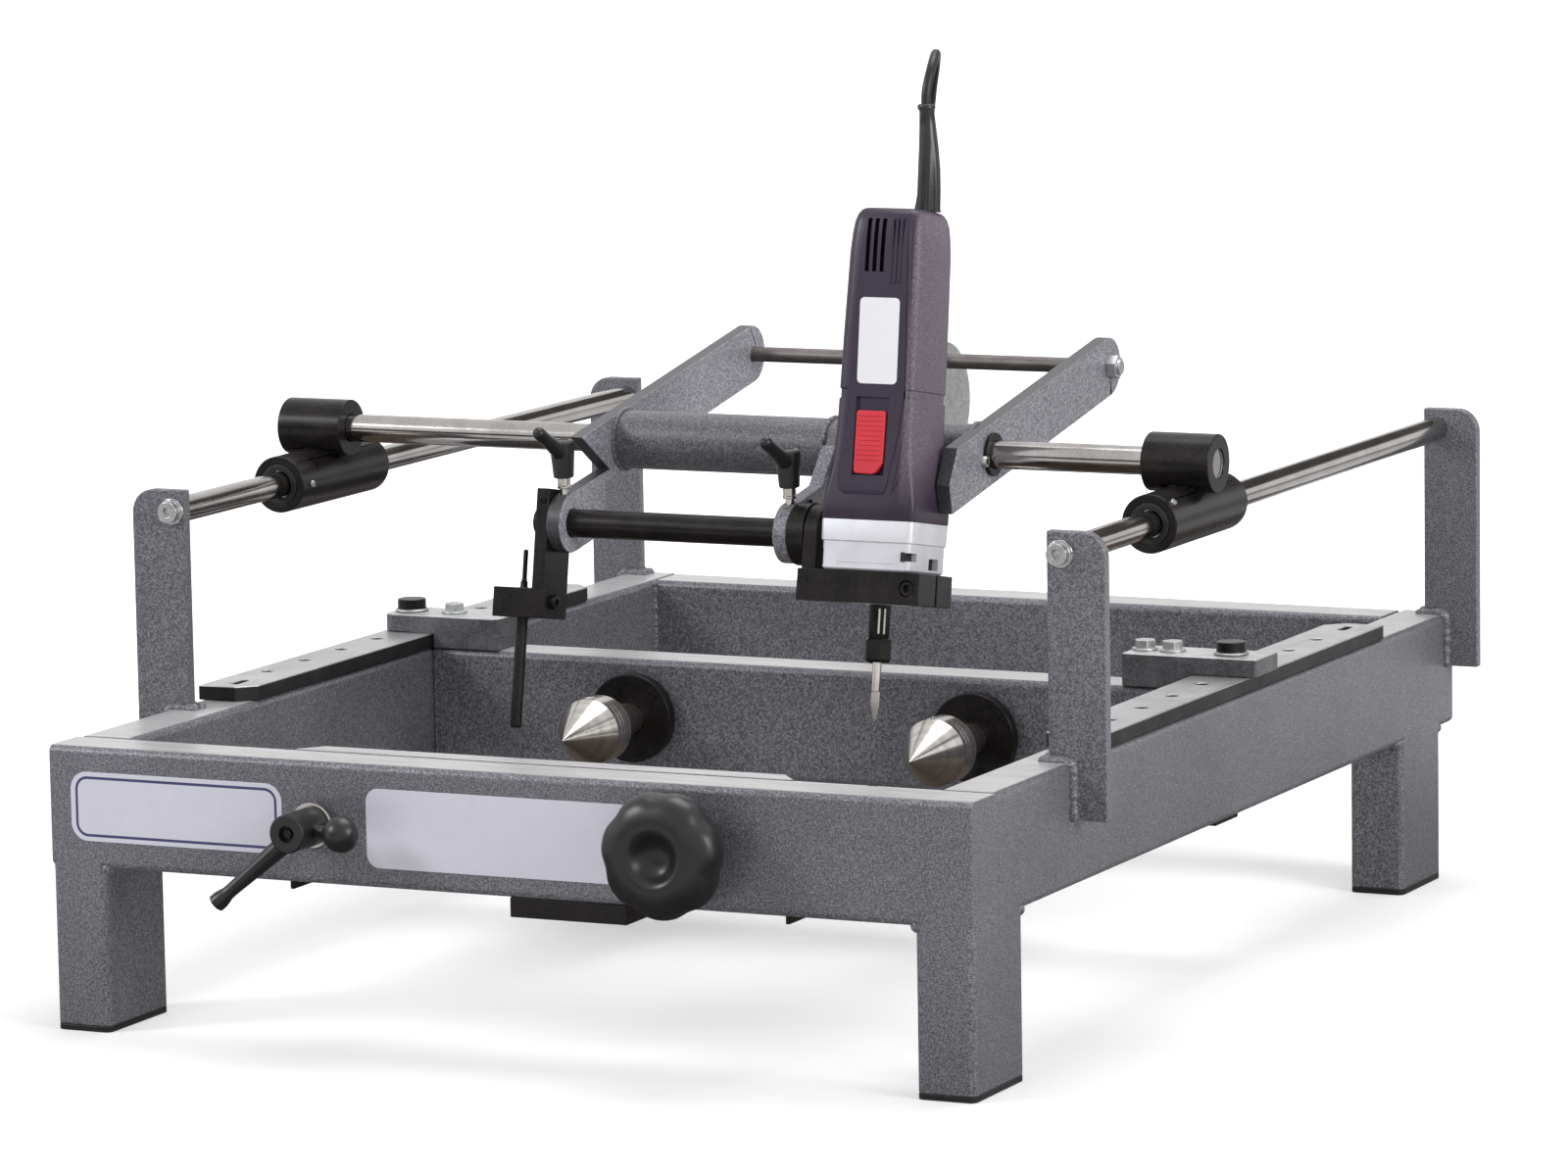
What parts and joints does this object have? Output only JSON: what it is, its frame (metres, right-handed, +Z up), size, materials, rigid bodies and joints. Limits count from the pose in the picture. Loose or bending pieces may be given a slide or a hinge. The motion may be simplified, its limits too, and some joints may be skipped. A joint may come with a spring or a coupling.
{
  "type": "duplicating milling machine",
  "caption": "Bench frame with a sliding, tilting yoke that carries a stylus and a hand motor side by side over two pairs of centres, to copy a pattern.",
  "frame": {"origin": "middle of the outline on the floor, without the cord", "axes": "+Z up, +Y from the front beam to the rear beam, +X to the right of someone at the front"},
  "size_m": [0.706, 0.895, 0.6232],
  "materials": {
    "grey_paint": "hammered, satin",
    "black_steel": "blackened, satin",
    "bright_steel": "turned",
    "chrome_rod": "ground and chromed",
    "zinc": "zinc plated",
    "alloy": "cast, satin",
    "strip_steel": "blackened, worn on top",
    "black_plastic": "moulded, satin",
    "motor_plastic": "moulded, fine grain",
    "switch_red": "moulded",
    "label_white": "printed film",
    "black_rubber": "matte"
  },
  "bodies": {
    "frame": {"front_beam": "grey_paint", "rear_beam": "grey_paint", "side_beams": "grey_paint", "legs": "grey_paint", "foot_caps": "black_plastic", "posts": "grey_paint", "slide_rods": "chrome_rod", "rod_bolts": "zinc", "index_strips": "strip_steel", "tail_rail": "grey_paint", "under_beam_fittings": "black_steel", "label_plates": "label_white", "tail_bushes": "bright_steel", "cord_to_floor": "black_rubber", "cord_coil": "black_rubber", "cord_tie": "black_plastic", "mains_plug": "black_plastic"},
    "headstock": {"headstock_beam": "grey_paint", "clamp_plates": "zinc", "guide_plates": "grey_paint", "headstock_bolts": "zinc", "bearing_flanges": "black_steel", "drive_belt": "black_rubber"},
    "left_pin": {"left_locating_pin": "black_plastic"},
    "right_pin": {"right_locating_pin": "black_plastic"},
    "left_centre": {"left_live_centre": "bright_steel"},
    "right_centre": {"right_live_centre": "bright_steel"},
    "quill": {"tail_quill": "bright_steel"},
    "quill_clamp": {"quill_lever": "black_steel"},
    "tail_point": {"tail_centre": "bright_steel"},
    "screw": {"tail_screw": "bright_steel", "star_knob": "black_plastic"},
    "gantry": {"sliders": "black_steel", "slider_bushings": "chrome_rod", "cross_rod": "chrome_rod"},
    "carriage": {"hub_bushings": "black_steel", "cord_middle": "black_rubber"},
    "yoke": {"hub_tube": "grey_paint", "left_arm": "grey_paint", "right_arm": "grey_paint", "middle_arm": "grey_paint", "rear_rod": "zinc", "hub_seals": "black_rubber", "cord_at_yoke": "black_rubber"},
    "weight": {"counterweight": "bright_steel"},
    "left_lever": {"left_clamp_lever": "black_plastic"},
    "right_lever": {"right_clamp_lever": "black_plastic"},
    "tools": {"tool_bar": "black_steel", "bar_collar": "black_steel", "stylus_holder": "black_steel", "motor_bracket": "black_steel", "bracket_screws": "black_steel", "motor_housing": "motor_plastic", "motor_nose": "alloy", "cable_boot": "black_rubber", "cord_at_motor": "black_rubber"},
    "stylus_rod": {"stylus": "bright_steel"},
    "switch": {"motor_switch": "switch_red"},
    "spindle": {"motor_spindle": "bright_steel", "cutter": "bright_steel"}
  },
  "joints": [
    {"name": "gantry_slide", "type": "slide", "parent": "frame", "child": "gantry", "axis": [0, 1, 0], "range_m": [-0.13, 0.15], "deforming": ["cord_to_floor"]},
    {"name": "carriage_slide", "type": "slide", "parent": "gantry", "child": "carriage", "axis": [1, 0, 0], "range_m": [-0.163, 0.1], "deforming": ["cord_middle"]},
    {"name": "yoke_tilt", "type": "hinge", "parent": "carriage", "child": "yoke", "pos_m": [0.043, -0.0385, 0.3555], "axis": [1, 0, 0], "range_deg": [-30, 10], "deforming": ["cord_at_yoke"]},
    {"name": "tool_tilt", "type": "hinge", "parent": "yoke", "child": "tools", "pos_m": [0, -0.11944, 0.30842], "axis": [1, 0, 0], "range_deg": [-14, 14], "deforming": ["cord_at_motor"]},
    {"name": "weight_swing", "type": "hinge", "parent": "yoke", "child": "weight", "pos_m": [0.043, 0.16326, 0.3918], "axis": [1, 0, 0], "range_deg": [-40, 40]},
    {"name": "left_lever_turn", "type": "hinge", "parent": "yoke", "child": "left_lever", "pos_m": [-0.092, -0.11944, 0.30842], "axis": [0, -0.0732, 0.9973], "range_deg": [-60, 110]},
    {"name": "right_lever_turn", "type": "hinge", "parent": "yoke", "child": "right_lever", "pos_m": [0.075, -0.11944, 0.30842], "axis": [0, -0.0732, 0.9973], "range_deg": [-110, 35]},
    {"name": "stylus_slide", "type": "slide", "parent": "tools", "child": "stylus_rod", "axis": [0, 0.1736, 0.9848], "range_m": [-0.02, 0.03]},
    {"name": "switch_slide", "type": "slide", "parent": "tools", "child": "switch", "axis": [0, 0.1736, 0.9848], "range_m": [0, 0.008]},
    {"name": "spindle_turn", "type": "hinge", "parent": "tools", "child": "spindle", "pos_m": [0.141, -0.11649, 0.3079], "axis": [0, 0.1736, 0.9848], "continuous": true},
    {"name": "headstock_slide", "type": "slide", "parent": "frame", "child": "headstock", "axis": [0, 1, 0], "range_m": [-0.157, 0.157]},
    {"name": "left_pin_pull", "type": "slide", "parent": "headstock", "child": "left_pin", "axis": [0, 0, 1], "range_m": [0, 0.012]},
    {"name": "right_pin_pull", "type": "slide", "parent": "headstock", "child": "right_pin", "axis": [0, 0, 1], "range_m": [0, 0.012]},
    {"name": "left_centre_turn", "type": "hinge", "parent": "headstock", "child": "left_centre", "pos_m": [-0.13, 0.0535, 0.1485], "axis": [0, 1, 0], "continuous": true},
    {"name": "right_centre_turn", "type": "hinge", "parent": "headstock", "child": "right_centre", "pos_m": [0.13, 0.0535, 0.1485], "axis": [0, 1, 0], "continuous": true},
    {"name": "quill_slide", "type": "slide", "parent": "frame", "child": "quill", "axis": [0, 1, 0], "range_m": [-0.03, 0.003]},
    {"name": "quill_lever_turn", "type": "hinge", "parent": "quill", "child": "quill_clamp", "pos_m": [-0.13, -0.4235, 0.1485], "axis": [0, 1, 0], "range_deg": [-70, 70]},
    {"name": "tail_feed", "type": "slide", "parent": "frame", "child": "tail_point", "axis": [0, 1, 0], "range_m": [-0.0102, 0.0082]},
    {"name": "tail_screw_turn", "type": "hinge", "parent": "tail_point", "child": "screw", "pos_m": [0.13, -0.4035, 0.1485], "axis": [0, 1, 0], "range_deg": [-900, 720]}
  ],
  "couplings": [
    {"joint": "right_centre_turn", "follows": "left_centre_turn", "ratio": 1},
    {"joint": "tail_feed", "follows": "tail_screw_turn", "m_per_rad": 0.00063662}
  ]
}
